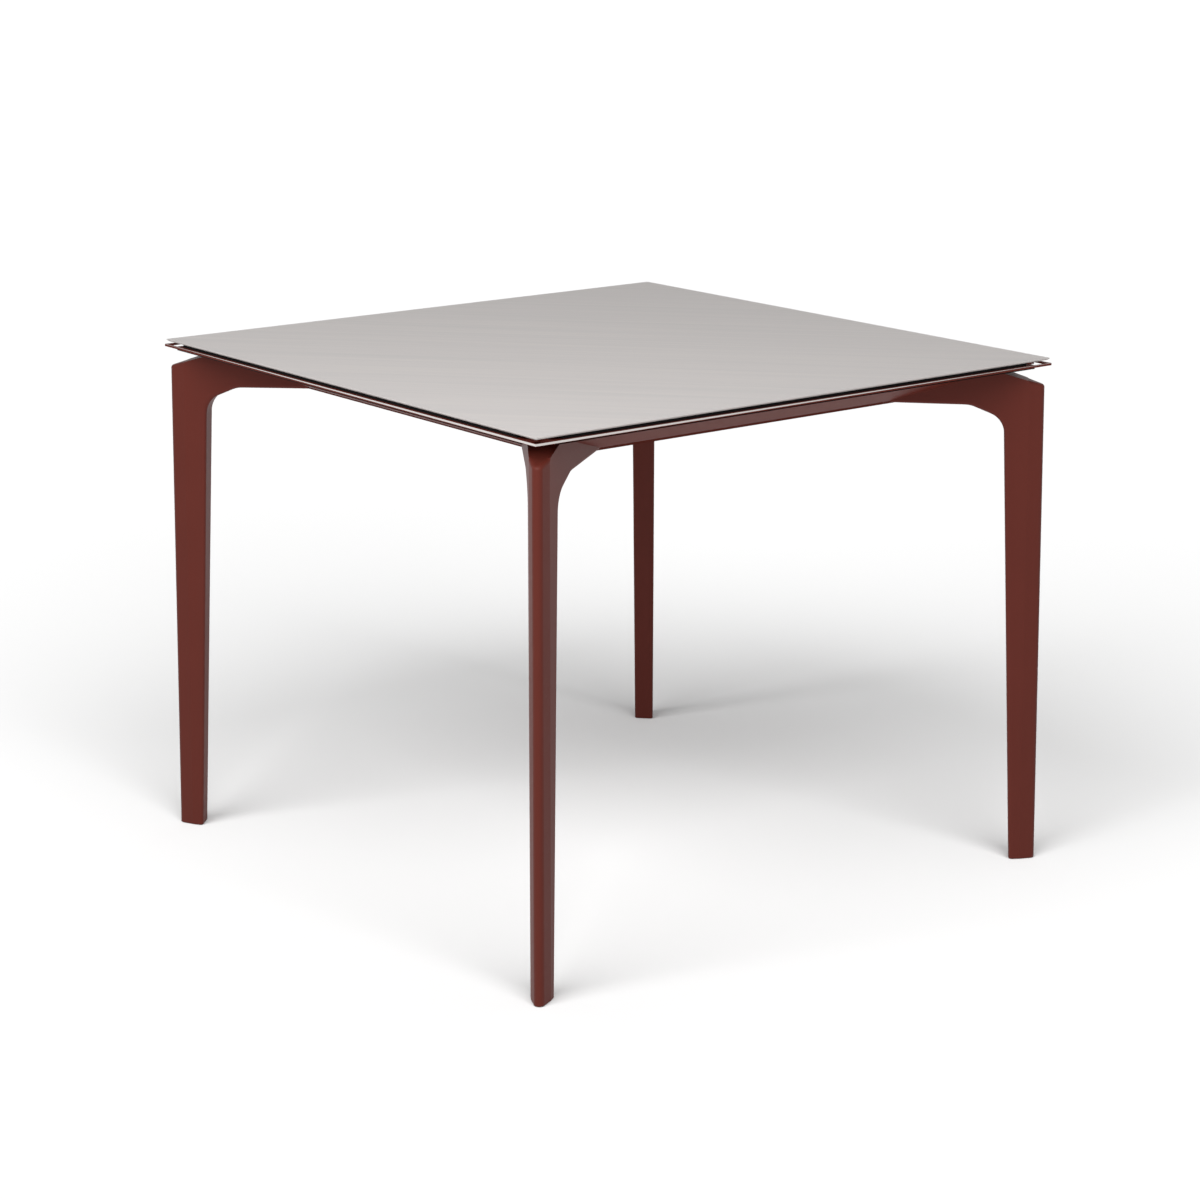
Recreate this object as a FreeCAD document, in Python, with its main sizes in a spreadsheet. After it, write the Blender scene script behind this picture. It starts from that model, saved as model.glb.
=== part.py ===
"""Square dining table, in millimetres: +Z up, origin on the floor under the middle of the top."""
import FreeCAD
import Part
import Sketcher
import os
import re

SIZES = {
    # Top panel and the black strips under it
    "table_height": 740,
    "top_side": 896,
    "top_thickness": 3,
    "top_bevel": 2,
    "shadow_gap": 4.2,
    "spacer_setback": 3,
    "spacer_stop": 43,
    # Rim strips on the edge of the frame
    "rim_overhang": 2,
    "rim_width": 2.5,
    "rim_height": 3.3,
    "trim_thick": 2.9,
    "trim_thin": 0.3,
    # Edge profile: flat flange, then a sloped underside, insets measured from the edge of the top
    "flange_thickness": 5.4,
    "flange_width": 29,
    "slope_run": 92,
    "slope_drop": 44.5,
    "land_width": 16,
    "profile_wall": 3,
    # Rail behind the profile
    "rail_width": 20,
    "rail_drop": 7.5,
    "rail_wall": 2.5,
    # Leg: places along the diagonal are measured from the corner of the top
    "nose_radius": 7.5,
    "facet_share": 0.36,
    "flank_half": 8.7,
    "flare_share": 0.2,
    "nose_kick": 6.5,
    "nose_inset": 6.2,
    "heel_foot": 30.5,
    "heel_knee": 61.5,
    "knee_drop": 54.1,
    "haunch_run": 47,
    "haunch_drop": 19,
    "knee_radius": 33,
    "haunch_radius": 40,
    "arm_reach": 219,
    "tip_drop": 46.7,
    "shoulder_drop": 25.2,
    "ramp_run": 42,
    "ramp_rise": 13,
    "shoulder_radius": 5,
    "edge_radius": 4.5,
    "foot_radius": 1.5,
    # Levelling glide
    "glide_place": 14,
    "glide_radius": 8,
    "glide_height": 3.5,
    "sole_gap": 0.6,
    "glide_bevel": 0.8,
    "stud_radius": 3.7,
    "stud_length": 25,
    "glide_clearance": 0.3,
    "stud_room": 3,
    # Corner key inside the mitred profiles
    "key_width": 48.7,
    "key_height": 31,
    "key_reach": 240,
    "key_clearance": 0.3,
    # Bolts from the leg into the key
    "bolt_place": 150,
    "bolt_offset": 20,
    "bolt_radius": 5,
    "bolt_length": 26,
    "bolt_head_radius": 8,
    "bolt_head_height": 10,
    "bolt_seat_drop": 38,
    "bolt_clearance": 0.3,
    "bolt_socket_radius": 4,
    "bolt_socket_depth": 5,
    # Screws from the profile into the key
    "key_screw_first": 200,
    "key_screw_second": 225,
    "key_screw_radius": 2.5,
    "key_screw_length": 14,
    "key_screw_head_radius": 4.5,
    "key_screw_head_height": 2.8,
    # Screws from the rail into the profile
    "rail_screw_share": 0.69,
    "rail_screw_drop": 30,
    "rail_screw_radius": 3,
    "rail_screw_grip": 2,
    "rail_screw_head_radius": 5,
    "rail_screw_head_height": 3.3,
    # Cross bars under the middle of the top
    "bar_share": 0.515,
    "bar_width": 30,
    "bar_height": 25,
    "bar_wall": 2,
    "bar_clearance": 0.5,
    "pad_width": 24,
    "cleat_leg": 28,
    "cleat_wall": 3,
    "cleat_width": 26,
    "cleat_screw_place": 17,
    "cleat_screw_radius": 2.5,
    "cleat_screw_grip": 3,
    "cleat_screw_head_radius": 4.5,
    "cleat_screw_head_height": 2.8,
    "screw_clearance": 0.2,
    # Length by which every cutter runs past what it cuts
    "overrun": 6,
}

SIDES = ["front", "right", "back", "left"]
CORNERS = ["front_left", "front_right", "back_right", "back_left"]
CORNER_SIGNS = [("-", "-"), ("", "-"), ("", ""), ("-", "")]

# Heights and insets that several pieces share, as formulas in the named sizes
HALF = "(top_side / 2)"
PROFILE_TOP = "(table_height - top_thickness - shadow_gap)"
FLANGE_UNDER = f"({PROFILE_TOP} - flange_thickness)"
PROFILE_UNDER = f"({FLANGE_UNDER} - slope_drop)"
RAIL_UNDER = f"({PROFILE_UNDER} - rail_drop)"
FLANGE_EDGE = "(rim_width - rim_overhang)"
SLOPE_END = "(flange_width + slope_run)"
PROFILE_DEPTH = f"({SLOPE_END} + land_width)"
RAIL_INNER = f"({PROFILE_DEPTH} + rail_width)"
TILT = "(slope_drop / slope_run)"
STEEP = f"sqrt(1 + {TILT} ^ 2)"
SPREAD = "sqrt(1 + facet_share ^ 2)"
BOLT_SEAT = f"({FLANGE_UNDER} - bolt_seat_drop)"
BAR_UNDER = f"({PROFILE_TOP} - bar_height)"
BAR_END = f"({HALF} - {RAIL_INNER})"
BAR_PLACE = f"(bar_share * {BAR_END})"
RAIL_SCREW_PLACE = f"(rail_screw_share * {BAR_END})"

doc = FreeCAD.newDocument("square_dining_table")
sheet = doc.addObject("Spreadsheet::Sheet", "Sizes")
for row, (name, size) in enumerate(SIZES.items(), 1):
    sheet.set(f"A{row}", name)
    sheet.set(f"B{row}", str(size))
    sheet.setAlias(f"B{row}", name)
doc.recompute()


def tie(formula):
    """Turn the size names in a formula into references to the sheet."""
    return re.sub(r"[a-z_]+", lambda word: "Sizes." + word[0] if word[0] in SIZES else word[0], formula)


def value(formula):
    """Work out a formula with the sheet as it stands."""
    return float(sheet.evalExpression(tie(formula)))


def new_body(name, quarter=0):
    """Start a body drawn at the front side, then turned to its own side by quarter turns."""
    body = doc.addObject("PartDesign::Body", name)
    body.Label = name
    turned = FreeCAD.Rotation(FreeCAD.Vector(0, 0, 1), 90 * quarter)
    body.Placement = FreeCAD.Placement(FreeCAD.Vector(), turned)
    return body


def new_corner_body(name, corner):
    """Start a body drawn with its X axis on the diagonal, from a corner of the top inwards."""
    body = new_body(name)
    turned = FreeCAD.Rotation(FreeCAD.Vector(0, 0, 1), 45 + 90 * corner)
    body.Placement = FreeCAD.Placement(FreeCAD.Vector(), turned)
    for axis, sign in zip("xy", CORNER_SIGNS[corner]):
        body.setExpression(f"Placement.Base.{axis}", tie(sign + HALF))
    return body


def new_sketch(body, name, plane, lift=None):
    """Attach a sketch to one of its body's origin planes, moved along the plane's normal."""
    sketch = body.newObject("Sketcher::SketchObject", f"{body.Name}_{name}_outline")
    support = [item for item in body.Origin.OriginFeatures if item.Role == plane][0]
    sketch.AttachmentSupport = (support, [""])
    sketch.MapMode = "FlatFace"
    if lift:
        sketch.setExpression("AttachmentOffset.Base.z", tie(lift))
    return sketch


def bind(sketch, constraint, formula):
    """Add a constraint whose value follows a formula."""
    index = sketch.addConstraint(constraint)
    sketch.setExpression(f"Constraints[{index}]", tie(formula))


def place_point(sketch, item, end, across, up):
    """Hold a point of a sketch at a place given by two formulas."""
    for kind, formula, axis in (("DistanceX", across, -2), ("DistanceY", up, -1)):
        if formula == "0":
            sketch.addConstraint(Sketcher.Constraint("PointOnObject", item, end, axis))
        elif formula:
            bind(sketch, Sketcher.Constraint(kind, -1, 1, item, end, value(formula)), formula)


def draw_loop(sketch, points):
    """Draw a closed outline of straight lines through points given by formulas."""
    first = sketch.GeometryCount
    spots = [FreeCAD.Vector(value(across), value(up), 0) for across, up in points]
    for index, spot in enumerate(spots):
        sketch.addGeometry(Part.LineSegment(spot, spots[(index + 1) % len(spots)]))
    for index in range(len(spots)):
        following = first + (index + 1) % len(spots)
        sketch.addConstraint(Sketcher.Constraint("Coincident", first + index, 2, following, 1))
        place_point(sketch, first + index, 1, *points[index])


def draw_circle(sketch, across, up, radius):
    """Draw a circle whose centre and radius are formulas."""
    centre = FreeCAD.Vector(value(across), value(up), 0)
    item = sketch.addGeometry(Part.Circle(centre, FreeCAD.Vector(0, 0, 1), value(radius)))
    place_point(sketch, item, 3, across, up)
    bind(sketch, Sketcher.Constraint("Radius", item, value(radius)), radius)


def rectangle(left, bottom, right, top):
    """Give the corners of a rectangle as formulas."""
    return [(left, bottom), (right, bottom), (right, top), (left, top)]


def extrude(body, sketch, length, kind="Pad", symmetric=False):
    """Pad or pocket a sketch by a length given as a formula."""
    feature = body.newObject(f"PartDesign::{kind}", sketch.Name.replace("outline", kind.lower()))
    feature.Profile = sketch
    feature.SideType = "Symmetric" if symmetric else "One side"
    feature.setExpression("Length", tie(length))
    return feature


def round_edges(body, name, edges, radius, kind="Fillet"):
    """Round or bevel edges of a body's last feature by a size given as a formula."""
    base = body.Tip
    feature = body.newObject(f"PartDesign::{kind}", f"{body.Name}_{name}")
    feature.Base = (base, edges)
    feature.setExpression("Radius" if kind == "Fillet" else "Size", tie(radius))
    doc.recompute()
    return feature


def shared_edges(shape, first, second):
    """Name the edges where a face that passes the first test meets one that passes the second."""
    sorted_faces = []
    for test in (first, second):
        chosen = []
        for face in shape.Faces:
            low_u, high_u, low_v, high_v = face.ParameterRange
            normal = face.normalAt((low_u + high_u) / 2, (low_v + high_v) / 2)
            if test(normal, face.CenterOfMass):
                chosen.extend(face.Edges)
        sorted_faces.append(chosen)
    names = []
    for index, edge in enumerate(shape.Edges, 1):
        if all(any(edge.isSame(other) for other in chosen) for chosen in sorted_faces):
            names.append(f"Edge{index}")
    return names


def cut_from(name, base, cutters):
    """Take one or more cutters from a blank, as the named piece."""
    piece = doc.addObject("Part::Cut", name)
    piece.Label = name
    piece.Base = base
    piece.Tool = cutters[0]
    if len(cutters) > 1:
        piece.Tool = doc.addObject("Part::MultiFuse", f"{name}_cutters")
        piece.Tool.Shapes = cutters
    return piece


def inset(distance):
    """Give the Y place on the front side of a distance in from the edge of the top."""
    return f"({distance} - {HALF})"


def mitre(body, deepest):
    """Cut both ends of a front-side body on the diagonals of the table, as far in as its deepest inset."""
    sketch = new_sketch(body, "mitre", "XY_Plane")
    reach = f"({HALF} + overrun)"
    depth = f"({deepest} + 2 * overrun)"
    for sign in ("", "-"):
        outer = f"{sign}{reach}"
        draw_loop(sketch, [(outer, f"-{reach}"), (outer, f"{depth} - {reach}"),
                           (f"{sign}({reach} - {depth})", f"{depth} - {reach}")])
    extrude(body, sketch, "2 * table_height", "Pocket", True)


def side_piece(name, quarter, loops, deepest=RAIL_INNER):
    """Make a mitred length of a section on one side of the table."""
    body = new_body(name, quarter)
    sketch = new_sketch(body, "section", "YZ_Plane")
    for loop in loops:
        draw_loop(sketch, [(inset(across), up) for across, up in loop])
    extrude(body, sketch, "top_side + 2 * rim_overhang", symmetric=True)
    mitre(body, deepest)
    return body


def slope_height(gap, across):
    """Give the height at an inset of the line a gap above the sloped underside."""
    return f"({FLANGE_UNDER} - {TILT} * ({across} - flange_width) + {gap} * {STEEP})"


def slope_meets(gap, height):
    """Give the inset where the line a gap above the sloped underside reaches a height."""
    return f"(flange_width + ({FLANGE_UNDER} + {gap} * {STEEP} - {height}) / {TILT})"


def make_top():
    """Thin square panel with a bevel under its edge."""
    body = new_body("table_top")
    sketch = new_sketch(body, "panel", "XY_Plane", "table_height - top_thickness")
    draw_loop(sketch, rectangle(f"-{HALF}", f"-{HALF}", HALF, HALF))
    extrude(body, sketch, "top_thickness")
    doc.recompute()
    under = value("table_height - top_thickness / 2")
    edges = shared_edges(body.Tip.Shape, lambda normal, centre: normal.z < 0 and centre.z < under,
                         lambda normal, centre: abs(normal.z) < abs(normal.x) + abs(normal.y))
    round_edges(body, "bevel", edges, "top_bevel", "Chamfer")
    return body


def make_spacer(quarter):
    """Black strip in the shadow gap, which stops short of the open corners."""
    body = new_body(f"spacer_{SIDES[quarter]}", quarter)
    sketch = new_sketch(body, "strip", "XY_Plane", PROFILE_TOP)
    end = f"({HALF} - spacer_stop)"
    draw_loop(sketch, rectangle(f"-{end}", inset("spacer_setback"), end, inset("flange_width")))
    extrude(body, sketch, "shadow_gap")
    return body


def make_rim(quarter, light):
    """Light strip of the rim, thick at one end of its side and thin at the other, or the lip under it."""
    bottom = f"({PROFILE_TOP} - rim_height)"
    section = rectangle("-rim_overhang", bottom, FLANGE_EDGE, PROFILE_TOP)
    body = side_piece(f"{'rim_trim' if light else 'rim_lip'}_{SIDES[quarter]}", quarter, [section])
    past = f"({HALF} + rim_overhang + overrun)"
    ends = [f"({PROFILE_TOP} - trim_thick)", f"({PROFILE_TOP} - trim_thin)"]
    left, right = ends if quarter % 2 == 0 else reversed(ends)
    beyond = f"({bottom} - overrun)" if light else f"({PROFILE_TOP} + overrun)"
    sketch = new_sketch(body, "split", "XZ_Plane")
    draw_loop(sketch, [(f"-{past}", beyond), (past, beyond), (past, right), (f"-{past}", left)])
    extrude(body, sketch, "2 * top_side", "Pocket", True)
    return body


def profile_outline():
    """Outer section of the edge profile."""
    return [(FLANGE_EDGE, PROFILE_TOP), (PROFILE_DEPTH, PROFILE_TOP), (PROFILE_DEPTH, PROFILE_UNDER),
            (SLOPE_END, PROFILE_UNDER), ("flange_width", FLANGE_UNDER), (FLANGE_EDGE, FLANGE_UNDER)]


def make_profile_blank(quarter):
    """Hollow edge profile, its flange cut away at the open corners."""
    roof = f"({PROFILE_TOP} - profile_wall)"
    floor = f"({PROFILE_UNDER} + profile_wall)"
    back = f"({PROFILE_DEPTH} - profile_wall)"
    chamber = [(slope_meets("profile_wall", roof), roof), (back, roof), (back, floor),
               (slope_meets("profile_wall", floor), floor)]
    body = side_piece(f"profile_blank_{SIDES[quarter]}", quarter, [profile_outline(), chamber])
    sketch = new_sketch(body, "corner", "XY_Plane")
    end = f"({HALF} - flange_width)"
    past = f"({HALF} + overrun)"
    draw_loop(sketch, rectangle(end, f"-{past}", past, inset("flange_width")))
    draw_loop(sketch, rectangle(f"-{past}", f"-{past}", f"-{end}", inset("flange_width")))
    extrude(body, sketch, "2 * table_height", "Pocket", True)
    return body


def make_frame_cutter(quarter):
    """Outer shape of profile and rail together, which the arms of the legs are fitted to."""
    section = [(FLANGE_EDGE, "table_height"), ("arm_reach", "table_height"), ("arm_reach", RAIL_UNDER),
               (PROFILE_DEPTH, RAIL_UNDER)] + profile_outline()[2:]
    return side_piece(f"frame_cutter_{SIDES[quarter]}", quarter, [section], "arm_reach")


def make_rail_blank(quarter):
    """Rectangular tube behind the profile."""
    outer = rectangle(PROFILE_DEPTH, RAIL_UNDER, RAIL_INNER, PROFILE_TOP)
    hollow = rectangle(f"({PROFILE_DEPTH} + rail_wall)", f"({RAIL_UNDER} + rail_wall)",
                       f"({RAIL_INNER} - rail_wall)", f"({PROFILE_TOP} - rail_wall)")
    return side_piece(f"rail_blank_{SIDES[quarter]}", quarter, [outer, hollow])


def draw_leg_section(body, name, nose, lift):
    """Wedge-shaped plan of the leg: round nose, a facet on each side of it, sides that spread inwards."""
    sketch = new_sketch(body, name, "XY_Plane", lift)
    centre = f"({nose} + nose_radius)"
    touch = f"({centre} - nose_radius * facet_share / {SPREAD})"
    facet_half = f"(nose_radius * ({SPREAD} - facet_share))"
    facet_run = f"((flank_half - {facet_half}) / (facet_share - flare_share))"
    places = [(touch, f"(nose_radius / {SPREAD})"),
              (f"({nose} + {facet_run})", f"(flank_half + flare_share * {facet_run})"),
              ("arm_reach", f"(flank_half + flare_share * (arm_reach - {nose}))")]
    places += [(across, f"-{up}") for across, up in reversed(places)]
    spots = [FreeCAD.Vector(value(across), value(up), 0) for across, up in places]
    for start, stop in zip(spots, spots[1:]):
        sketch.addGeometry(Part.LineSegment(start, stop))
    tip = FreeCAD.Vector(value(nose), 0, 0)
    last = sketch.GeometryCount - 1
    arc = sketch.addGeometry(Part.Arc(spots[0], tip, spots[-1]))
    for index in range(last):
        sketch.addConstraint(Sketcher.Constraint("Coincident", index, 2, index + 1, 1))
    sketch.addConstraint(Sketcher.Constraint("Coincident", 0, 1, arc, 1))
    sketch.addConstraint(Sketcher.Constraint("Coincident", last, 2, arc, 2))
    place_point(sketch, arc, 3, centre, None)
    for index, (across, up) in enumerate(places[:-1]):
        place_point(sketch, index, 1, across, up)
    place_point(sketch, last, 2, *places[-1])
    return sketch


def make_leg_blank(corner):
    """Leg with its arm, before it is fitted to the frame above it."""
    body = new_corner_body(f"leg_blank_{CORNERS[corner]}", corner)
    foot = draw_leg_section(body, "foot", "-nose_kick", "sole_gap")
    head = draw_leg_section(body, "head", "nose_inset", PROFILE_TOP)
    loft = body.newObject("PartDesign::AdditiveLoft", f"{body.Name}_loft")
    loft.Profile = foot
    loft.Sections = [head]
    loft.Ruled = True
    knee = f"({FLANGE_UNDER} - knee_drop)"
    tip = f"({FLANGE_UNDER} - tip_drop)"
    past = "(arm_reach + overrun)"
    tip_past = f"({tip} + overrun * ({tip} - {knee}) / (arm_reach - heel_knee))"
    foot_past = f"(heel_foot - overrun * (heel_knee - heel_foot) / {knee})"
    haunch_top = f"({knee} + haunch_run * ({tip} - {knee}) / (arm_reach - heel_knee))"
    haunch_foot = f"(heel_knee - haunch_drop * (heel_knee - heel_foot) / {knee})"
    under = new_sketch(body, "under_arm", "XZ_Plane")
    draw_loop(under, [(foot_past, "-overrun"), (past, "-overrun"), (past, tip_past),
                      ("(heel_knee + haunch_run)", haunch_top), (haunch_foot, f"({knee} - haunch_drop)")])
    extrude(body, under, "2 * top_side", "Pocket", True)
    shoulder = f"({FLANGE_UNDER} - shoulder_drop)"
    ramp = new_sketch(body, "shoulder", "XZ_Plane")
    before = "(-nose_kick - overrun)"
    grade = "(ramp_rise / ramp_run)"
    above = "(table_height + overrun)"
    draw_loop(ramp, [(before, f"({shoulder} - {grade} * (nose_inset + nose_kick + overrun))"),
                     (f"(nose_inset + ({above} - {shoulder}) / {grade})", above), (before, above)])
    extrude(body, ramp, "2 * top_side", "Pocket", True)
    doc.recompute()
    half_height = value("table_height / 2")
    end = value("arm_reach")
    haunch_end = value("heel_knee + haunch_run")

    def is_side(normal, centre):
        return abs(normal.y) > abs(normal.x) + abs(normal.z)

    def is_heel(normal, centre):
        return normal.x > abs(normal.z) + abs(normal.y) and centre.x < end / 2

    def is_under_arm(normal, centre):
        return normal.z < -abs(normal.x) and centre.z > half_height

    def is_haunch(normal, centre):
        return is_under_arm(normal, centre) and centre.x < haunch_end

    def is_level(normal, centre):
        return is_under_arm(normal, centre) and centre.x > haunch_end

    def is_inner(normal, centre):
        under = normal.z < 0 and centre.z > half_height and not is_side(normal, centre)
        return centre.x < end and (is_heel(normal, centre) or under)

    def is_ramp(normal, centre):
        return normal.z > abs(normal.x) and normal.x < 0

    def is_nose(normal, centre):
        return -normal.x > abs(normal.z) + abs(normal.y)

    def is_sole(normal, centre):
        return normal.z < -abs(normal.x) and centre.z < half_height

    def is_upright(normal, centre):
        return abs(normal.z) < abs(normal.x) + abs(normal.y)

    for name, first, second, radius in (("knee", is_heel, is_under_arm, "knee_radius"),
                                        ("haunch", is_haunch, is_level, "haunch_radius"),
                                        ("inner_edges", is_side, is_inner, "edge_radius"),
                                        ("shoulder", is_ramp, is_nose, "shoulder_radius"),
                                        ("sole", is_sole, is_upright, "foot_radius")):
        round_edges(body, name, shared_edges(body.Tip.Shape, first, second), radius)
    for name, radius, height in (("stud_hole", "stud_radius", "stud_length + stud_room"),
                                 ("glide_recess", "glide_radius", "0")):
        hole = new_sketch(body, name, "XY_Plane")
        draw_circle(hole, "glide_place", "0", f"({radius} + glide_clearance)")
        extrude(body, hole, f"2 * (glide_height + {height})", "Pocket", True)
    return body


def make_bolt_cutter(corner):
    """Holes and counterbores for the two bolts of a leg."""
    body = new_corner_body(f"bolt_cutter_{CORNERS[corner]}", corner)
    bore = new_sketch(body, "bore", "XY_Plane", f"{BOLT_SEAT} - bolt_head_height - overrun")
    hole = new_sketch(body, "hole", "XY_Plane", BOLT_SEAT)
    for sign in ("", "-"):
        draw_circle(bore, "bolt_place", f"{sign}bolt_offset", "(bolt_head_radius + bolt_clearance)")
        draw_circle(hole, "bolt_place", f"{sign}bolt_offset", "(bolt_radius + bolt_clearance)")
    extrude(body, bore, "bolt_head_height + overrun")
    extrude(body, hole, "bolt_length + overrun")
    return body


def make_bolts(corner):
    """Two socket bolts of a leg."""
    body = new_corner_body(f"bolt_pair_{CORNERS[corner]}", corner)
    heads = new_sketch(body, "heads", "XY_Plane", f"{BOLT_SEAT} - bolt_head_height")
    shanks = new_sketch(body, "shanks", "XY_Plane", BOLT_SEAT)
    sockets = new_sketch(body, "sockets", "XY_Plane", f"{BOLT_SEAT} - bolt_head_height")
    for sign in ("", "-"):
        draw_circle(heads, "bolt_place", f"{sign}bolt_offset", "bolt_head_radius")
        draw_circle(shanks, "bolt_place", f"{sign}bolt_offset", "bolt_radius")
        draw_circle(sockets, "bolt_place", f"{sign}bolt_offset", "bolt_socket_radius")
    extrude(body, heads, "bolt_head_height")
    extrude(body, shanks, "bolt_length")
    extrude(body, sockets, "2 * bolt_socket_depth", "Pocket", True)
    return body


def make_glide(corner):
    """Levelling foot: a disc with a stud."""
    body = new_corner_body(f"glide_{CORNERS[corner]}", corner)
    disc = new_sketch(body, "disc", "XY_Plane")
    draw_circle(disc, "glide_place", "0", "glide_radius")
    extrude(body, disc, "glide_height")
    stud = new_sketch(body, "stud", "XY_Plane", "glide_height")
    draw_circle(stud, "glide_place", "0", "stud_radius")
    extrude(body, stud, "stud_length")
    doc.recompute()
    rim = shared_edges(body.Tip.Shape, lambda normal, centre: normal.z < 0,
                       lambda normal, centre: abs(normal.z) < abs(normal.x) + abs(normal.y))
    round_edges(body, "bevel", rim, "glide_bevel", "Chamfer")
    return body


def make_key_arm(quarter, end):
    """One arm of a corner key, at the left or right end of a side."""
    body = new_body(f"key_arm_{SIDES[quarter]}_{end}", quarter)
    start = f"-{HALF}" if end == "left" else f"{HALF} - key_reach"
    sketch = new_sketch(body, "section", "YZ_Plane", start)
    gap = "(profile_wall + key_clearance)"
    floor = f"({PROFILE_UNDER} + {gap})"
    ceiling = f"({PROFILE_UNDER} + {gap} + key_height)"
    back = f"({PROFILE_DEPTH} - {gap})"
    front = f"({back} - key_width)"
    section = [(front, slope_height(gap, front)), (slope_meets(gap, floor), floor), (back, floor),
               (back, ceiling), (front, ceiling)]
    draw_loop(sketch, [(inset(across), up) for across, up in section])
    extrude(body, sketch, "key_reach")
    mitre(body, RAIL_INNER)
    return body


def place_key_screws(sketch, radius):
    """Draw circles at the places of a side's key screws."""
    for place in ("key_screw_first", "key_screw_second"):
        for sign in ("", "-"):
            draw_circle(sketch, f"{sign}({HALF} - {place})", inset(f"({SLOPE_END} + land_width / 2)"), radius)


def make_key_screws(quarter):
    """Screws that hold a profile to the corner keys at its ends."""
    body = new_body(f"key_screws_{SIDES[quarter]}", quarter)
    heads = new_sketch(body, "heads", "XY_Plane", f"{PROFILE_UNDER} - key_screw_head_height")
    place_key_screws(heads, "key_screw_head_radius")
    extrude(body, heads, "key_screw_head_height")
    shanks = new_sketch(body, "shanks", "XY_Plane", PROFILE_UNDER)
    place_key_screws(shanks, "key_screw_radius")
    extrude(body, shanks, "key_screw_length")
    return body


def make_key_screw_cutter(quarter):
    """Holes for a side's key screws."""
    body = new_body(f"key_screw_cutter_{SIDES[quarter]}", quarter)
    holes = new_sketch(body, "holes", "XY_Plane", f"{PROFILE_UNDER} - overrun")
    place_key_screws(holes, "(key_screw_radius + screw_clearance)")
    extrude(body, holes, "key_screw_length + 2 * overrun")
    return body


def place_rail_screws(sketch, radius):
    """Draw circles at the places of a side's rail screws."""
    for place in (f"-{RAIL_SCREW_PLACE}", "0", RAIL_SCREW_PLACE):
        draw_circle(sketch, place, f"({PROFILE_TOP} - rail_screw_drop)", radius)


def make_rail_screws(quarter):
    """Screws that hold a rail to the profile in front of it."""
    body = new_body(f"rail_screws_{SIDES[quarter]}", quarter)
    heads = new_sketch(body, "heads", "XZ_Plane", f"{BAR_END} - rail_screw_head_height")
    place_rail_screws(heads, "rail_screw_head_radius")
    extrude(body, heads, "rail_screw_head_height")
    shanks = new_sketch(body, "shanks", "XZ_Plane", BAR_END)
    place_rail_screws(shanks, "rail_screw_radius")
    extrude(body, shanks, "rail_width + profile_wall + rail_screw_grip")
    return body


def make_rail_screw_cutter(quarter):
    """Holes for a side's rail screws."""
    body = new_body(f"rail_screw_cutter_{SIDES[quarter]}", quarter)
    holes = new_sketch(body, "holes", "XZ_Plane", f"{BAR_END} - overrun")
    place_rail_screws(holes, "(rail_screw_radius + screw_clearance)")
    extrude(body, holes, "rail_width + profile_wall + rail_screw_grip + 2 * overrun")
    return body


def make_bar_blank(name, middle):
    """Rectangular tube across the table under the top."""
    body = new_body(f"cross_bar_blank_{name}")
    sketch = new_sketch(body, "section", "YZ_Plane")
    for wall in ("0", "bar_wall"):
        draw_loop(sketch, rectangle(f"({middle} - bar_width / 2 + {wall})", f"({BAR_UNDER} + {wall})",
                                    f"({middle} + bar_width / 2 - {wall})", f"({PROFILE_TOP} - {wall})"))
    extrude(body, sketch, f"2 * ({BAR_END} - bar_clearance)", symmetric=True)
    return body


def make_bar_pad(name, middle):
    """Black strip between a cross bar and the top."""
    body = new_body(f"bar_pad_{name}")
    sketch = new_sketch(body, "strip", "XY_Plane", PROFILE_TOP)
    end = f"({BAR_END} - bar_clearance)"
    draw_loop(sketch, rectangle(f"-{end}", f"({middle} - pad_width / 2)", end, f"({middle} + pad_width / 2)"))
    extrude(body, sketch, "shadow_gap")
    return body


def make_cleat_blank(name, middle, sign):
    """Angle under one end of a cross bar."""
    body = new_body(f"cleat_blank_{name}")
    sketch = new_sketch(body, "section", "XZ_Plane", f"-({middle})")
    corners = [("0", "0"), ("cleat_leg", "0"), ("cleat_leg", "cleat_wall"), ("cleat_wall", "cleat_wall"),
               ("cleat_wall", "cleat_leg"), ("0", "cleat_leg")]
    draw_loop(sketch, [(f"{sign}({BAR_END} - {back})", f"({BAR_UNDER} - {down})") for back, down in corners])
    extrude(body, sketch, "cleat_width", symmetric=True)
    return body


def make_cleat_screws(name, middle, sign, cutter=False):
    """Two screws of a cleat, into the rail and up into the bar, or the holes for them."""
    body = new_body(f"cleat_{'cutter' if cutter else 'screws'}_{name}")
    radius = "(cleat_screw_radius + screw_clearance)" if cutter else "cleat_screw_radius"
    past = "overrun" if cutter else "cleat_screw_grip"
    height = f"({BAR_UNDER} - cleat_screw_place)"
    reach = f"{sign}({BAR_END} - cleat_screw_place)"
    parts = [("cleat_wall", "-cleat_wall", radius, f"cleat_wall + rail_wall + {past}")]
    if not cutter:
        head = "(cleat_wall + cleat_screw_head_height)"
        parts.append((head, f"-{head}", "cleat_screw_head_radius", "cleat_screw_head_height"))
    for index, (back, down, size, length) in enumerate(parts):
        level = new_sketch(body, f"level_{index}", "YZ_Plane", f"{sign}({BAR_END} - {back})")
        draw_circle(level, middle, height, size)
        feature = extrude(body, level, length)
        feature.Reversed = sign == "-"
        upright = new_sketch(body, f"upright_{index}", "XY_Plane", f"{BAR_UNDER} + {down}")
        draw_circle(upright, reach, middle, size)
        extrude(body, upright, length)
    return body


def make_group(name, members):
    """Put like fasteners together as one named group of separate solids."""
    group = doc.addObject("Part::Compound", name)
    group.Label = name
    group.Links = members
    return group


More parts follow.
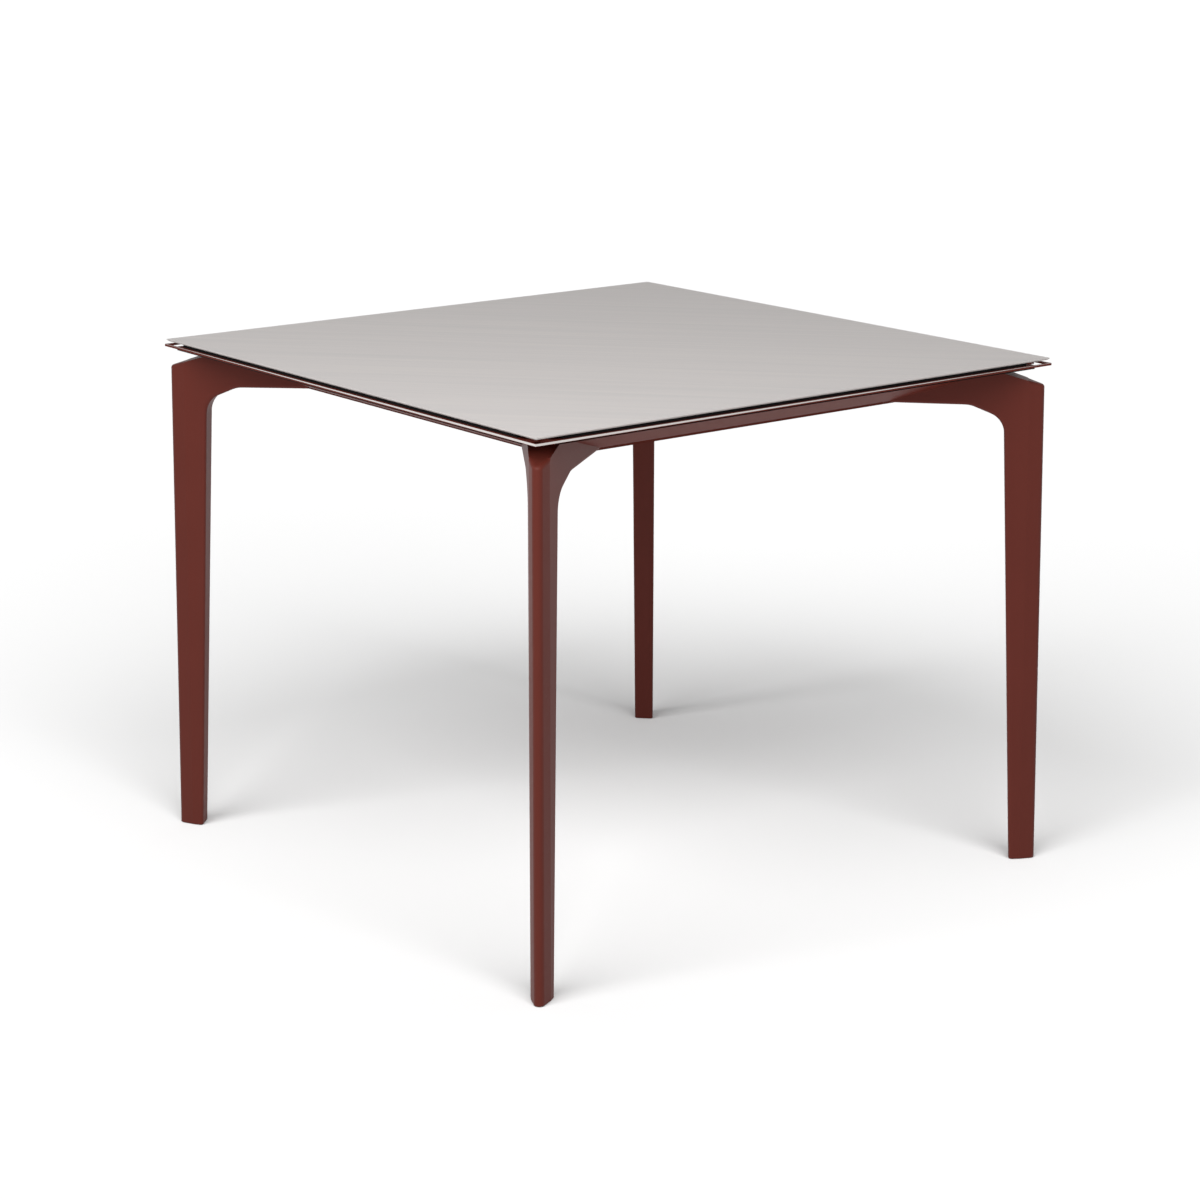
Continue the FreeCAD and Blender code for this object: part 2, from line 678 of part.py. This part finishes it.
nodes = [make_top()]
quarters = range(len(SIDES))
frame_cutters = [make_frame_cutter(quarter) for quarter in quarters]
bolt_cutters = [make_bolt_cutter(corner) for corner in quarters]
key_screw_cutters = [make_key_screw_cutter(quarter) for quarter in quarters]
rail_screw_cutters = [make_rail_screw_cutter(quarter) for quarter in quarters]

bars = [("front", f"-{BAR_PLACE}"), ("back", BAR_PLACE)]
bar_ends = [("left", "-"), ("right", "")]
cleats = [(f"{bar}_{end}", middle, sign) for bar, middle in bars for end, sign in bar_ends]
cleat_cutters = [make_cleat_screws(*cleat, cutter=True) for cleat in cleats]

for quarter in quarters:
    side = SIDES[quarter]
    following = (quarter + 1) % len(SIDES)
    nodes.append(make_spacer(quarter))
    nodes.append(make_rim(quarter, True))
    nodes.append(make_rim(quarter, False))
    profile_cutters = [bolt_cutters[quarter], bolt_cutters[following],
                       key_screw_cutters[quarter], rail_screw_cutters[quarter]]
    nodes.append(cut_from(f"edge_profile_{side}", make_profile_blank(quarter), profile_cutters))
    rail_cutters = [rail_screw_cutters[quarter]] + (cleat_cutters if side in ("left", "right") else [])
    nodes.append(cut_from(f"inner_rail_{side}", make_rail_blank(quarter), rail_cutters))

for corner in quarters:
    before = corner - 1
    fitted = [frame_cutters[corner], frame_cutters[before], bolt_cutters[corner]]
    nodes.append(cut_from(f"leg_{CORNERS[corner]}", make_leg_blank(corner), fitted))
    nodes.append(make_glide(corner))
    key_blank = doc.addObject("Part::Fuse", f"key_blank_{CORNERS[corner]}")
    key_blank.Base = make_key_arm(corner, "left")
    key_blank.Tool = make_key_arm(quarters[before], "right")
    key_blank.Refine = True
    key_cutters = [bolt_cutters[corner], key_screw_cutters[corner], key_screw_cutters[before]]
    nodes.append(cut_from(f"corner_key_{CORNERS[corner]}", key_blank, key_cutters))

for bar, middle in bars:
    nodes.append(cut_from(f"cross_bar_{bar}", make_bar_blank(bar, middle), cleat_cutters))
    nodes.append(make_bar_pad(bar, middle))
for cleat, cutter in zip(cleats, cleat_cutters):
    nodes.append(cut_from(f"bar_cleat_{cleat[0]}", make_cleat_blank(*cleat), [cutter]))

nodes.append(make_group("leg_bolts", [make_bolts(corner) for corner in quarters]))
nodes.append(make_group("key_screws", [make_key_screws(quarter) for quarter in quarters]))
nodes.append(make_group("rail_screws", [make_rail_screws(quarter) for quarter in quarters]))
nodes.append(make_group("cleat_screws", [make_cleat_screws(*cleat) for cleat in cleats]))

doc.recompute()
for item in doc.Objects:
    if "Invalid" in item.State or "Error" in item.State:
        raise RuntimeError(f"{item.Label} is not sound: {item.State}")
os.makedirs("parts", exist_ok=True)
for node in nodes:
    if node.Shape.isNull() or not node.Shape.isValid() or not node.Shape.Solids:
        raise RuntimeError(f"{node.Label} has no sound solid")
    node.Shape.exportStep(f"parts/{node.Label}.step")
    print(node.Label, len(node.Shape.Solids), round(node.Shape.Volume))
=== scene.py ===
import math
import bpy
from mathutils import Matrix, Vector

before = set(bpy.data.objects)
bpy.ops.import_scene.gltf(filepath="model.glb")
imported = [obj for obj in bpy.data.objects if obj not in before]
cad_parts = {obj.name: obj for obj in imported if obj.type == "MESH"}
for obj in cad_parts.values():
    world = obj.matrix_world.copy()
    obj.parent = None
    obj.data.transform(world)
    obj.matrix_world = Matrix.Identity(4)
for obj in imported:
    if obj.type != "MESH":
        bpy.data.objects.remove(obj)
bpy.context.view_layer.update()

bl_info = {
    "name": "Square dining table",
    "version": (1, 0, 0),
    "blender": (4, 5, 0),
    "location": "3D View > Sidebar > Table",
    "description": "Finishes and studio stage for a square dining table with a thin top and a painted frame",
    "category": "Object",
}

MILLIMETRE = 0.001
WHITE = (1.0, 1.0, 1.0, 1.0)

# Sizes of the fixed patterns in millimetres. Foam pores, plastic grain and zinc spangle are finer on real
# surfaces, and are drawn this coarse to show in a close view.
FOAM_PORE = 0.8
STRIP_GRAIN = 2.0
PLASTIC_GRAIN = 0.5
CASTING_FLOW = 12.0
ZINC_SPANGLE = 1.5
FLOOR_GRAIN = 3.0

# Heights of the fine relief in millimetres
STREAK_RELIEF = 0.02
PORE_RELIEF = 0.1
STRIP_RELIEF = 0.02
PLASTIC_RELIEF = 0.03

# How far a pattern changes the roughness or the tone
PEEL_ROUGHNESS = 0.04
STREAK_ROUGHNESS = 0.05
STRIP_VARIATION = 0.05
FLOOR_VARIATION = 0.005

# Places of the dark, middle and light tones in the streaks' noise, and how much finer the streaks' relief is
STREAK_STOPS = (0.3, 0.5, 0.7)
FINE_STREAKS = 4.0

# Faces whose normal rises by more than this belong to the ledge of the light strip
LEDGE_RISE = 0.7

FLOOR_REACH = 30.0
SENSOR_WIDTH = 36.0


def linear(code):
    """Turn an sRGB hex colour into the linear colour that shaders use."""
    shares = [int(code[place:place + 2], 16) / 255 for place in (0, 2, 4)]
    return [share / 12.92 if share <= 0.04045 else ((share + 0.055) / 1.055) ** 2.4 for share in shares]


def per_metre(length):
    """Give the texture scale that makes one cell of a pattern a length in millimetres."""
    return 1 / (length * MILLIMETRE)


def feed(tree, socket, source):
    """Link a socket to another node's socket, or set its value."""
    if isinstance(source, bpy.types.NodeSocket):
        tree.links.new(source, socket)
    else:
        socket.default_value = source


def add_node(tree, kind, inputs=None, **settings):
    """Add a node with its settings, and fill its sockets from values or from other nodes' sockets."""
    node = tree.nodes.new(kind)
    for name, setting in settings.items():
        setattr(node, name, setting)
    for name, source in (inputs or {}).items():
        feed(tree, node.inputs[name], source)
    return node


def new_material(name):
    """Start a material, and give it with its tree, its shader and the place on the object in metres."""
    material = bpy.data.materials.new(name)
    material.use_nodes = True
    tree = material.node_tree
    tree.nodes.clear()
    shader = add_node(tree, "ShaderNodeBsdfPrincipled")
    add_node(tree, "ShaderNodeOutputMaterial", {"Surface": shader.outputs["BSDF"]})
    place = add_node(tree, "ShaderNodeTexCoord").outputs["Object"]
    return material, tree, shader, place


def fill(tree, shader, **sources):
    """Fill sockets of the shader, named with underscores for spaces, from values or other sockets."""
    for name, source in sources.items():
        feed(tree, shader.inputs[name.replace("_", " ")], source)


def shade(colour, share=1.0):
    """Give a colour with alpha, lighter or darker by a share."""
    return [channel * share for channel in colour] + [1.0]


def finish_nodes(names, material):
    """Give a material to the named CAD nodes."""
    for name in names:
        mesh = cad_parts[name].data
        mesh.materials.clear()
        mesh.materials.append(material)


def nodes_like(*starts):
    """Names of the CAD nodes that begin with one of these words."""
    names = sorted(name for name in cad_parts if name.startswith(starts))
    if not names:
        raise RuntimeError(f"no CAD node begins with {starts}")
    return names


def powder_coat(name, look, sheen, with_shadow_line=False):
    """Satin powder coat: orange peel breaks the sheen up a little, and faint clouding keeps it from flat."""
    material, tree, shader, place = new_material(name)
    cloud = add_node(tree, "ShaderNodeTexNoise", {
        "Vector": place, "Scale": per_metre(look.cloud_size), "Detail": 3.0})
    peel = add_node(tree, "ShaderNodeTexNoise", {
        "Vector": place, "Scale": per_metre(look.peel_size), "Detail": 2.0})
    tint = add_node(tree, "ShaderNodeMix", {
        "Factor": cloud.outputs["Fac"],
        "A": shade(look.colour, 1 - look.cloud_share),
        "B": shade(look.colour, 1 + look.cloud_share)}, data_type="RGBA").outputs["Result"]
    bump = add_node(tree, "ShaderNodeBump", {
        "Height": peel.outputs["Fac"], "Strength": look.peel_share,
        "Distance": look.peel_height * MILLIMETRE})
    rough = add_node(tree, "ShaderNodeMapRange", {
        "Value": peel.outputs["Fac"],
        "To Min": look.roughness - PEEL_ROUGHNESS, "To Max": look.roughness + PEEL_ROUGHNESS})
    # With the flag, a painted shadow line darkens the frame's outer edge under the rim strips
    if with_shadow_line:
        tint = paint_shadow_line(tree, place, tint, look)
    fill(tree, shader, Base_Color=tint, Roughness=rough.outputs["Result"], Normal=bump.outputs["Normal"],
         Specular_IOR_Level=sheen)
    return material


def paint_shadow_line(tree, place, paint, look):
    """Paint a shadow: a dark line on the outer edge of the frame, under the rim strips, stands in for the
    shade there and reads as a thin shadow line.
    """
    axes = add_node(tree, "ShaderNodeSeparateXYZ", {"Vector": place}).outputs
    across, along = (add_node(tree, "ShaderNodeMath", {0: axes[axis]}, operation="ABSOLUTE") for axis in "XY")
    reach = add_node(tree, "ShaderNodeMath", {0: across.outputs[0], 1: along.outputs[0]}, operation="MAXIMUM")
    # Painted shadow: faces farther from the middle than the start distance take the dark shadow colour
    edge = add_node(tree, "ShaderNodeMath", {0: reach.outputs[0], 1: look.shadow_line_start * MILLIMETRE},
                    operation="GREATER_THAN")
    mix = add_node(tree, "ShaderNodeMix", {
        "Factor": edge.outputs[0], "A": paint, "B": shade(look.shadow_line_colour)}, data_type="RGBA")
    return mix.outputs["Result"]


def add_object(scene, name, data):
    """Put a mesh, lamp or camera into the scene."""
    thing = bpy.data.objects.new(name, data)
    scene.collection.objects.link(thing)
    return thing


def point_along(thing, direction):
    """Turn a lamp or camera so that it looks along a direction."""
    thing.rotation_euler = direction.to_track_quat("-Z", "Y").to_euler()


def link_floor(lamp, floor, state):
    """Let a lamp light only the floor (INCLUDE), or everything else (EXCLUDE)."""
    group = bpy.data.collections.new(f"floor_of_{lamp.name}")
    group.objects.link(floor)
    group.collection_objects[0].light_linking.link_state = state
    lamp.light_linking.receiver_collection = group


def add_floor(scene, look):
    """Lay the plain pale floor."""
    # Matt painted board: a fine grain that only just breaks the even tone
    material, tree, shader, place = new_material("matt studio floor, pale")
    grain = add_node(tree, "ShaderNodeTexNoise", {"Vector": place, "Scale": per_metre(FLOOR_GRAIN)})
    tone = add_node(tree, "ShaderNodeMix", {
        "Factor": grain.outputs["Fac"],
        "A": shade((look.floor_share,) * 3, 1 - FLOOR_VARIATION),
        "B": shade((look.floor_share,) * 3, 1 + FLOOR_VARIATION)}, data_type="RGBA")
    fill(tree, shader, Base_Color=tone.outputs["Result"], Roughness=1.0, Specular_IOR_Level=0.0)
    mesh = bpy.data.meshes.new("studio_floor")
    corners = [(-FLOOR_REACH, -FLOOR_REACH, 0), (FLOOR_REACH, -FLOOR_REACH, 0),
               (FLOOR_REACH, FLOOR_REACH, 0), (-FLOOR_REACH, FLOOR_REACH, 0)]
    mesh.from_pydata(corners, [], [(0, 1, 2, 3)])
    mesh.materials.append(material)
    floor = add_object(scene, "studio_floor", mesh)
    return floor


def add_lamps(scene, look, floor):
    """Hang the main soft light, and the two lights that only the floor takes."""
    lamp = bpy.data.lights.new("key_light", "AREA")
    lamp.shape = "SQUARE"
    lamp.size = look.key_size
    lamp.energy = look.key_power
    key = add_object(scene, "key_light", lamp)
    key.location = look.key_place
    point_along(key, Vector(look.aim) - Vector(look.key_place))
    # The floor's own lights stand in for the main one there: they lift it to white with a wide soft shadow
    link_floor(key, floor, "EXCLUDE")
    for turn in look.sweep_turns:
        lamp = bpy.data.lights.new("floor_light", "SUN")
        lamp.energy = look.sweep_strength
        lamp.angle = look.sweep_spread
        sweep = add_object(scene, "floor_light", lamp)
        level = math.cos(look.sweep_rise)
        source = Vector((level * math.cos(turn), level * math.sin(turn), math.sin(look.sweep_rise)))
        point_along(sweep, -source)
        link_floor(sweep, floor, "INCLUDE")


def add_background(scene, look):
    """Show white behind the table and in reflections, and light it evenly from all round."""
    world = bpy.data.worlds.new("white_studio")
    world.use_nodes = True
    scene.world = world
    tree = world.node_tree
    tree.nodes.clear()
    path = add_node(tree, "ShaderNodeLightPath").outputs
    seen = path["Is Camera Ray"]
    for ray in ("Is Glossy Ray", "Is Transmission Ray"):
        seen = add_node(tree, "ShaderNodeMath", {0: seen, 1: path[ray]}, operation="MAXIMUM").outputs[0]
    light = add_node(tree, "ShaderNodeBackground", {"Color": WHITE, "Strength": look.fill_strength})
    white = add_node(tree, "ShaderNodeBackground", {"Color": WHITE, "Strength": 1.0})
    mix = add_node(tree, "ShaderNodeMixShader", {0: seen, 1: light.outputs[0], 2: white.outputs[0]})
    add_node(tree, "ShaderNodeOutputWorld", {"Surface": mix.outputs[0]})


def add_camera(scene, look):
    """Set the camera at the photograph's viewing angle."""
    camera = bpy.data.cameras.new("photo_camera")
    camera.lens = look.lens
    camera.sensor_width = SENSOR_WIDTH
    holder = add_object(scene, "photo_camera", camera)
    holder.location = look.eye
    point_along(holder, Vector(look.aim) - Vector(look.eye))
    scene.camera = holder


class TablePanelLook(bpy.types.PropertyGroup):
    """Finish of the thin top panel."""
    colour: bpy.props.FloatVectorProperty(
        name="Colour", description="Coat of the panel", subtype="COLOR", size=3, default=linear("c2bdbb"))
    light_streak: bpy.props.FloatVectorProperty(
        name="Light streak", description="Lighter grey of some streaks", subtype="COLOR", size=3,
        default=linear("c5c0bd"))
    dark_streak: bpy.props.FloatVectorProperty(
        name="Dark streak", description="Darker grey of other streaks", subtype="COLOR", size=3,
        default=linear("bebab8"))
    streak_length: bpy.props.FloatProperty(
        name="Streak length", description="Length of a streak in millimetres", default=420.0, min=1.0)
    streak_width: bpy.props.FloatProperty(
        name="Streak width", description="Width of a streak in millimetres", default=10.0, min=0.1)
    streak_turn: bpy.props.FloatProperty(
        name="Streak turn", description="Direction of the streaks on the panel", subtype="ANGLE",
        default=math.radians(-48))
    roughness: bpy.props.FloatProperty(
        name="Roughness", description="Roughness of the coat", subtype="FACTOR", default=0.5,
        min=0.0, max=1.0)
    sheen: bpy.props.FloatProperty(
        name="Sheen", description="Strength of the reflection on the coat", subtype="FACTOR", default=0.2)


class TablePaintLook(bpy.types.PropertyGroup):
    """Finish of the powder-coated frame, rim and legs."""
    colour: bpy.props.FloatVectorProperty(
        name="Colour", description="Paint of the frame and legs", subtype="COLOR", size=3,
        default=linear("5a261e"))
    # The light strip's grey is in part a painted reflection along the rim's edge
    trim: bpy.props.FloatVectorProperty(
        name="Light strip", description="Light grey of the strip round the rim, in part a painted reflection", subtype="COLOR", size=3,
        default=linear("c4c0bd"))
    cloud_size: bpy.props.FloatProperty(
        name="Cloud size", description="Size of the faint clouding in millimetres", default=60.0, min=1.0)
    cloud_share: bpy.props.FloatProperty(
        name="Cloud share", description="How far the clouding lightens and darkens the paint", default=0.05)
    peel_size: bpy.props.FloatProperty(
        name="Peel size", description="Size of the orange peel in millimetres", default=1.4, min=0.1)
    peel_height: bpy.props.FloatProperty(
        name="Peel height", description="Height of the orange peel in millimetres", default=0.03, min=0.0)
    peel_share: bpy.props.FloatProperty(
        name="Peel share", description="How strongly the orange peel shows", default=0.25)
    roughness: bpy.props.FloatProperty(
        name="Roughness", description="Roughness of the coat", subtype="FACTOR", default=0.45,
        min=0.0, max=1.0)
    sheen: bpy.props.FloatProperty(
        name="Sheen", description="Strength of the reflection on the legs' paint", subtype="FACTOR",
        default=0.12)
    frame_sheen: bpy.props.FloatProperty(
        name="Frame sheen", description="Strength of the reflection on the frame's paint", subtype="FACTOR",
        default=0.04)
    # Painted shadow line: a dark band on the frame's outer edge under the rim strips stands in for the shade
    # there
    shadow_line_start: bpy.props.FloatProperty(
        name="Adhesive start", description="Distance of the painted shadow line from the middle in millimetres",
        default=447.0)
    shadow_line_colour: bpy.props.FloatVectorProperty(
        name="Painted shadow", description="Dark painted shadow under the rim strips", subtype="COLOR", size=3,
        default=linear("150806"))


class TableStageLook(bpy.types.PropertyGroup):
    """Camera, light and floor."""
    eye: bpy.props.FloatVectorProperty(
        name="Eye", description="Place of the camera", subtype="TRANSLATION", unit="LENGTH", size=3,
        default=(-2.4637, -3.1577, 1.4414))
    aim: bpy.props.FloatVectorProperty(
        name="Aim", description="Point that the camera and the main light look at", subtype="TRANSLATION",
        unit="LENGTH", size=3, default=(0.0, 0.0, 0.3686))
    lens: bpy.props.FloatProperty(
        name="Lens", description="Focal length of the camera in millimetres", default=85.3)
    key_place: bpy.props.FloatVectorProperty(
        name="Key place", description="Place of the main soft light", subtype="TRANSLATION", unit="LENGTH",
        size=3, default=(-1.9, -1.45, 2.5))
    key_size: bpy.props.FloatProperty(
        name="Key size", description="Side of the main soft light", unit="LENGTH", default=2.4)
    key_power: bpy.props.FloatProperty(
        name="Key power", description="Power of the main soft light in watts", default=95.0)
    fill_strength: bpy.props.FloatProperty(
        name="Fill", description="Strength of the light from all round", default=0.3)
    sweep_strength: bpy.props.FloatProperty(
        name="Floor lights", description="Strength of each of the two lights that only the floor takes",
        default=4.45)
    sweep_rise: bpy.props.FloatProperty(
        name="Floor lights height", description="Height angle of the floor's lights", subtype="ANGLE",
        default=math.radians(38))
    sweep_turns: bpy.props.FloatVectorProperty(
        name="Floor lights sides", description="Sides the floor's lights come from", subtype="EULER", size=2,
        default=(math.radians(193), math.radians(251)))
    sweep_spread: bpy.props.FloatProperty(
        name="Floor lights spread", description="Width of the floor's lights, which softens the shadow",
        subtype="ANGLE", default=math.radians(45))
    floor_share: bpy.props.FloatProperty(
        name="Floor", description="Share of the light that the floor gives back", subtype="FACTOR",
        default=0.5)


class TABLE_OT_finish_panel(bpy.types.Operator):
    """Give the top panel its coat with faint streaks"""
    bl_idname = "table.finish_panel"
    bl_label = "Finish the panel"

    def execute(self, context):
        look = context.scene.table_panel
        # Coated sheet metal: long faint streaks of lighter and darker grey lie in a smooth satin coat
        material, tree, shader, place = new_material("powder-coated aluminium sheet, streaked")
        along = add_node(tree, "ShaderNodeMapping", {
            "Vector": place, "Rotation": (0.0, 0.0, -look.streak_turn)})
        stretch = add_node(tree, "ShaderNodeMapping", {
            "Vector": along.outputs["Vector"],
            "Scale": (per_metre(look.streak_length), per_metre(look.streak_width), 1.0)}).outputs["Vector"]
        streak = add_node(tree, "ShaderNodeTexNoise", {"Vector": stretch, "Scale": 1.0, "Detail": 4.0})
        fine = add_node(tree, "ShaderNodeTexNoise", {"Vector": stretch, "Scale": FINE_STREAKS, "Detail": 2.0})
        ramp = add_node(tree, "ShaderNodeValToRGB", {"Fac": streak.outputs["Fac"]})
        stops = ramp.color_ramp.elements
        stops.new(STREAK_STOPS[1])
        for stop, spot, tone in zip(stops, STREAK_STOPS, (look.dark_streak, look.colour, look.light_streak)):
            stop.position = spot
            stop.color = shade(tone)
        bump = add_node(tree, "ShaderNodeBump", {
            "Height": fine.outputs["Fac"], "Strength": 0.1, "Distance": STREAK_RELIEF * MILLIMETRE})
        rough = add_node(tree, "ShaderNodeMapRange", {
            "Value": fine.outputs["Fac"],
            "To Min": look.roughness - STREAK_ROUGHNESS, "To Max": look.roughness + STREAK_ROUGHNESS})
        fill(tree, shader, Base_Color=ramp.outputs["Color"], Roughness=rough.outputs["Result"],
             Normal=bump.outputs["Normal"], Specular_IOR_Level=look.sheen)
        finish_nodes(["table_top"], material)
        return {"FINISHED"}


class TABLE_OT_finish_spacers(bpy.types.Operator):
    """Give the strips under the top and the pads on the bars their black foam"""
    bl_idname = "table.finish_spacers"
    bl_label = "Finish the spacers"

    def execute(self, context):
        # Closed-cell foam tape, cut: fine pores take nearly all the light
        material, tree, shader, place = new_material("cut black foam tape")
        pores = add_node(tree, "ShaderNodeTexVoronoi", {
            "Vector": place, "Scale": per_metre(FOAM_PORE)}).outputs["Distance"]
        tone = add_node(tree, "ShaderNodeMix", {
            "Factor": pores, "A": shade(linear("0d0a0a")), "B": shade(linear("181616"))}, data_type="RGBA")
        bump = add_node(tree, "ShaderNodeBump", {
            "Height": pores, "Strength": 0.4, "Distance": PORE_RELIEF * MILLIMETRE})
        fill(tree, shader, Base_Color=tone.outputs["Result"], Roughness=0.95, Specular_IOR_Level=0.1,
             Normal=bump.outputs["Normal"])
        finish_nodes(nodes_like("spacer", "bar_pad"), material)
        return {"FINISHED"}


class TABLE_OT_finish_trim(bpy.types.Operator):
    """Give the light strips of the rim their coat, whose light grey is in part a painted reflection"""
    bl_idname = "table.finish_trim"
    bl_label = "Finish the rim trim"

    def execute(self, context):
        look = context.scene.table_paint
        # Coated strip: a faint grain lies in a light satin coat, and the frame's red-brown coat covers the
        # ledge on top, so only the outer face reads as a light line. That light grey is in part a painted
        # reflection along the rim's edge.
        material, tree, shader, place = new_material(
            "powder-coated aluminium strip, light grey with a red-brown ledge")
        grain = add_node(tree, "ShaderNodeTexNoise", {
            "Vector": place, "Scale": per_metre(STRIP_GRAIN), "Detail": 2.0}).outputs["Fac"]
        tone = add_node(tree, "ShaderNodeMix", {
            "Factor": grain,
            "A": shade(look.trim, 1 - STRIP_VARIATION),
            "B": shade(look.trim, 1 + STRIP_VARIATION)}, data_type="RGBA")
        bump = add_node(tree, "ShaderNodeBump", {
            "Height": grain, "Strength": 0.1, "Distance": STRIP_RELIEF * MILLIMETRE})
        facing = add_node(tree, "ShaderNodeNewGeometry").outputs["True Normal"]
        rise = add_node(tree, "ShaderNodeSeparateXYZ", {"Vector": facing}).outputs["Z"]
        ledge = add_node(tree, "ShaderNodeMath", {0: rise, 1: LEDGE_RISE}, operation="GREATER_THAN")
        coat = add_node(tree, "ShaderNodeMix", {
            "Factor": ledge.outputs[0], "A": tone.outputs["Result"], "B": shade(look.colour)},
            data_type="RGBA")
        fill(tree, shader, Base_Color=coat.outputs["Result"], Roughness=0.5, Normal=bump.outputs["Normal"],
             Specular_IOR_Level=look.frame_sheen)
        finish_nodes(nodes_like("rim_trim"), material)
        return {"FINISHED"}


class TABLE_OT_finish_frame(bpy.types.Operator):
    """Paint the rim lips, edge profiles, rails, bars, cleats and the screws that show under the profiles"""
    bl_idname = "table.finish_frame"
    bl_label = "Finish the frame"

    def execute(self, context):
        look = context.scene.table_paint
        # The edge profiles get a painted shadow line along their outer edge, under the rim strips
        material = powder_coat("powder-coated aluminium extrusion, red-brown, adhesive on its edge", look,
                               look.frame_sheen, with_shadow_line=True)
        finish_nodes(nodes_like("edge_profile"), material)
        material = powder_coat("powder-coated aluminium extrusion, red-brown", look, look.frame_sheen)
        names = nodes_like("rim_lip", "inner_rail", "cross_bar", "bar_cleat", "key_screws")
        finish_nodes(names, material)
        return {"FINISHED"}


class TABLE_OT_finish_legs(bpy.types.Operator):
    """Paint the cast legs"""
    bl_idname = "table.finish_legs"
    bl_label = "Finish the legs"

    def execute(self, context):
        look = context.scene.table_paint
        material = powder_coat("powder-coated aluminium casting, red-brown", look, look.sheen)
        finish_nodes([name for name in nodes_like("leg_") if name != "leg_bolts"], material)
        return {"FINISHED"}


class TABLE_OT_finish_glides(bpy.types.Operator):
    """Give the levelling glides their moulded plastic"""
    bl_idname = "table.finish_glides"
    bl_label = "Finish the glides"

    def execute(self, context):
        # Moulded plastic: fine spark-eroded texture, dull and nearly black
        material, tree, shader, place = new_material("moulded black plastic")
        grain = add_node(tree, "ShaderNodeTexNoise", {
            "Vector": place, "Scale": per_metre(PLASTIC_GRAIN), "Detail": 2.0}).outputs["Fac"]
        tone = add_node(tree, "ShaderNodeMix", {
            "Factor": grain, "A": shade(linear("1d1d1d")), "B": shade(linear("272727"))}, data_type="RGBA")
        bump = add_node(tree, "ShaderNodeBump", {
            "Height": grain, "Strength": 0.3, "Distance": PLASTIC_RELIEF * MILLIMETRE})
        fill(tree, shader, Base_Color=tone.outputs["Result"], Roughness=0.6, Normal=bump.outputs["Normal"])
        finish_nodes(nodes_like("glide"), material)
        return {"FINISHED"}


class TABLE_OT_finish_keys(bpy.types.Operator):
    """Give the corner keys their raw casting"""
    bl_idname = "table.finish_keys"
    bl_label = "Finish the corner keys"

    def execute(self, context):
        # Raw die casting: cloudy bare metal with flow marks
        material, tree, shader, place = new_material("raw die-cast aluminium")
        flow = add_node(tree, "ShaderNodeTexNoise", {
            "Vector": place, "Scale": per_metre(CASTING_FLOW), "Detail": 5.0}).outputs["Fac"]
        tone = add_node(tree, "ShaderNodeMix", {
            "Factor": flow, "A": shade(linear("aeaeb0")), "B": shade(linear("cccccc"))}, data_type="RGBA")
        rough = add_node(tree, "ShaderNodeMapRange", {"Value": flow, "To Min": 0.4, "To Max": 0.6})
        fill(tree, shader, Base_Color=tone.outputs["Result"], Metallic=1.0, Roughness=rough.outputs["Result"])
        finish_nodes(nodes_like("corner_key"), material)
        return {"FINISHED"}


class TABLE_OT_finish_fasteners(bpy.types.Operator):
    """Give the bolts and the screws of rails and cleats their zinc plating"""
    bl_idname = "table.finish_fasteners"
    bl_label = "Finish the fasteners"

    def execute(self, context):
        # Zinc-plated steel: bright bare metal with fine spangle
        material, tree, shader, place = new_material("zinc-plated steel")
        spangle = add_node(tree, "ShaderNodeTexVoronoi", {
            "Vector": place, "Scale": per_metre(ZINC_SPANGLE)}).outputs["Distance"]
        tone = add_node(tree, "ShaderNodeMix", {
            "Factor": spangle, "A": shade(linear("bcbdc0")), "B": shade(linear("d3d4d7"))}, data_type="RGBA")
        fill(tree, shader, Base_Color=tone.outputs["Result"], Metallic=1.0, Roughness=0.35)
        finish_nodes(nodes_like("leg_bolts", "rail_screws", "cleat_screws"), material)
        return {"FINISHED"}


class TABLE_OT_set_stage(bpy.types.Operator):
    """Set up floor, light, white background and camera"""
    bl_idname = "table.set_stage"
    bl_label = "Set the stage"

    def execute(self, context):
        scene = context.scene
        look = scene.table_stage
        floor = add_floor(scene, look)
        add_lamps(scene, look, floor)
        add_background(scene, look)
        add_camera(scene, look)
        scene.view_settings.view_transform = "Standard"
        return {"FINISHED"}


class TABLE_PT_sidebar(bpy.types.Panel):
    """Finishes and stage of the table"""
    bl_idname = "TABLE_PT_sidebar"
    bl_label = "Square dining table"
    bl_space_type = "VIEW_3D"
    bl_region_type = "UI"
    bl_category = "Table"

    def draw(self, context):
        for operator in OPERATORS:
            self.layout.operator(operator.bl_idname)
        for group in (context.scene.table_panel, context.scene.table_paint, context.scene.table_stage):
            box = self.layout.box()
            for name in group.__annotations__:
                box.prop(group, name)


GROUPS = {"table_panel": TablePanelLook, "table_paint": TablePaintLook, "table_stage": TableStageLook}
OPERATORS = [TABLE_OT_finish_panel, TABLE_OT_finish_spacers, TABLE_OT_finish_trim, TABLE_OT_finish_frame,
             TABLE_OT_finish_legs, TABLE_OT_finish_glides, TABLE_OT_finish_keys, TABLE_OT_finish_fasteners,
             TABLE_OT_set_stage]


def register():
    for name, group in GROUPS.items():
        bpy.utils.register_class(group)
        setattr(bpy.types.Scene, name, bpy.props.PointerProperty(type=group))
    for kind in [*OPERATORS, TABLE_PT_sidebar]:
        bpy.utils.register_class(kind)


def unregister():
    for kind in [TABLE_PT_sidebar, *reversed(OPERATORS)]:
        bpy.utils.unregister_class(kind)
    for name, group in reversed(GROUPS.items()):
        delattr(bpy.types.Scene, name)
        bpy.utils.unregister_class(group)


def main():
    register()
    bpy.ops.table.finish_panel()
    bpy.ops.table.finish_spacers()
    bpy.ops.table.finish_trim()
    bpy.ops.table.finish_frame()
    bpy.ops.table.finish_legs()
    bpy.ops.table.finish_glides()
    bpy.ops.table.finish_keys()
    bpy.ops.table.finish_fasteners()
    bpy.ops.table.set_stage()


if __name__ == "__main__":
    main()
